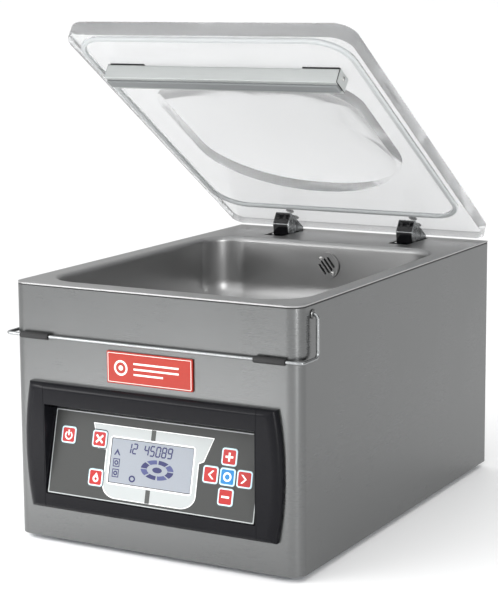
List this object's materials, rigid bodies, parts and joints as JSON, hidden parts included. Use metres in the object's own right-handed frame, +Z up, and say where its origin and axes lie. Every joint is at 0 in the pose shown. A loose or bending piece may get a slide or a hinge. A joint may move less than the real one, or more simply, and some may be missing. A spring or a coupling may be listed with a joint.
{
  "type": "vacuum packing machine",
  "caption": "Table-top chamber vacuum packing machine: steel casing, drawn chamber with lifting seal bar, domed clear lid on sprung hinges, wire bail and tilted keypad.",
  "frame": {"origin": "on the surface under the feet, at the middle of the machine's overall box with the lid open", "axes": "+X to the operator's right, +Y to the rear, +Z up; -Y is the front with the control panel"},
  "size_m": [0.3444, 0.501, 0.5319],
  "materials": {
    "brushed_steel": "brushed stainless sheet",
    "chamber_steel": "satin deep-drawn stainless sheet",
    "zinc_steel": "zinc-plated steel",
    "cast_housing": "painted casting",
    "aluminium": "anodised extrusion",
    "acrylic": "thick clear acrylic",
    "grey_silicone": "soft silicone",
    "black_rubber": "matt black rubber",
    "chrome": "bright plated steel",
    "dark_plastic": "textured dark grey moulding",
    "keypad_film": "satin printed film",
    "display_glass": "grey-blue display window",
    "green_board": "circuit board",
    "key_red": "red key",
    "key_blue": "blue key",
    "badge_red": "red-orange enamelled plate",
    "brown_band": "coated fabric band"
  },
  "bodies": {
    "machine": {"casing_shell": "brushed_steel", "rear_cover": "brushed_steel", "chamber_deck": "chamber_steel", "suction_grille": "chamber_steel", "base_plate": "zinc_steel", "hinge_shaft": "zinc_steel", "hinge_bracket_left": "zinc_steel", "hinge_bracket_right": "zinc_steel", "lid_spring_left": "zinc_steel", "lid_spring_right": "zinc_steel", "seal_transformer": "cast_housing", "vacuum_pump": "cast_housing", "pump_motor": "cast_housing", "solenoid_valve": "aluminium", "vacuum_hose": "black_rubber", "foot_front_left": "black_rubber", "foot_front_right": "black_rubber", "foot_rear_left": "black_rubber", "foot_rear_right": "black_rubber", "bail_bush_left": "dark_plastic", "bail_bush_right": "dark_plastic", "bezel_centre": "dark_plastic", "bezel_end_left": "dark_plastic", "bezel_end_right": "dark_plastic", "display_module": "dark_plastic", "mains_inlet": "dark_plastic", "exhaust_cap": "dark_plastic", "lifter_cylinder_left": "dark_plastic", "lifter_cylinder_right": "dark_plastic", "membrane_panel": "keypad_film", "display_glass": "display_glass", "control_board": "green_board", "name_badge": "badge_red"},
    "lid": {"lid_panel": "acrylic", "lid_gasket": "grey_silicone", "silicone_holder": "aluminium", "silicone_strip": "grey_silicone", "holder_pad_left": "black_rubber", "holder_pad_right": "black_rubber", "hinge_arm_left": "chrome", "hinge_arm_right": "chrome"},
    "bail": {"bail_wire": "chrome", "bail_sleeve_left": "black_rubber", "bail_sleeve_right": "black_rubber"},
    "seal_bar_lift": {"seal_bar": "aluminium", "sealing_band": "brown_band", "lifter_piston_left": "aluminium", "lifter_piston_right": "aluminium"},
    "fan": {"motor_fan": "dark_plastic"},
    "key_power": {"key_power": "key_red"},
    "key_cancel": {"key_cancel": "key_red"},
    "key_function": {"key_function": "key_red"},
    "key_up": {"key_up": "key_red"},
    "key_down": {"key_down": "key_red"},
    "key_previous": {"key_previous": "key_red"},
    "key_select": {"key_select": "key_blue"},
    "key_next": {"key_next": "key_red"}
  },
  "joints": [
    {"name": "lid_hinge", "type": "hinge", "parent": "machine", "child": "lid", "pos_m": [0, 0.2226, 0.2427], "axis": [1, 0, 0], "range_deg": [0, 33.2], "stiffness_Nm_per_rad": 4, "springref_deg": -114.59},
    {"name": "bail_swing", "type": "hinge", "parent": "machine", "child": "bail", "pos_m": [0, -0.2125, 0.2599], "axis": [-1, 0, 0], "range_deg": [0, 192]},
    {"name": "seal_bar_lift", "type": "slide", "parent": "machine", "child": "seal_bar_lift", "axis": [0, 0, 1], "range_m": [0, 0.0042], "stiffness_N_per_m": 600, "springref_m": -0.004},
    {"name": "motor_fan_spin", "type": "hinge", "parent": "machine", "child": "fan", "pos_m": [0.0976, 0.12, 0.07], "axis": [1, 0, 0], "continuous": true},
    {"name": "key_power_press", "type": "slide", "parent": "machine", "child": "key_power", "axis": [0, 0.9732, -0.23], "range_m": [0, 0.0008], "stiffness_N_per_m": 800},
    {"name": "key_cancel_press", "type": "slide", "parent": "machine", "child": "key_cancel", "axis": [0, 0.9732, -0.23], "range_m": [0, 0.0008], "stiffness_N_per_m": 800},
    {"name": "key_function_press", "type": "slide", "parent": "machine", "child": "key_function", "axis": [0, 0.9732, -0.23], "range_m": [0, 0.0008], "stiffness_N_per_m": 800},
    {"name": "key_up_press", "type": "slide", "parent": "machine", "child": "key_up", "axis": [0, 0.9732, -0.23], "range_m": [0, 0.0008], "stiffness_N_per_m": 800},
    {"name": "key_down_press", "type": "slide", "parent": "machine", "child": "key_down", "axis": [0, 0.9732, -0.23], "range_m": [0, 0.0008], "stiffness_N_per_m": 800},
    {"name": "key_previous_press", "type": "slide", "parent": "machine", "child": "key_previous", "axis": [0, 0.9732, -0.23], "range_m": [0, 0.0008], "stiffness_N_per_m": 800},
    {"name": "key_select_press", "type": "slide", "parent": "machine", "child": "key_select", "axis": [0, 0.9732, -0.23], "range_m": [0, 0.0008], "stiffness_N_per_m": 800},
    {"name": "key_next_press", "type": "slide", "parent": "machine", "child": "key_next", "axis": [0, 0.9732, -0.23], "range_m": [0, 0.0008], "stiffness_N_per_m": 800}
  ]
}
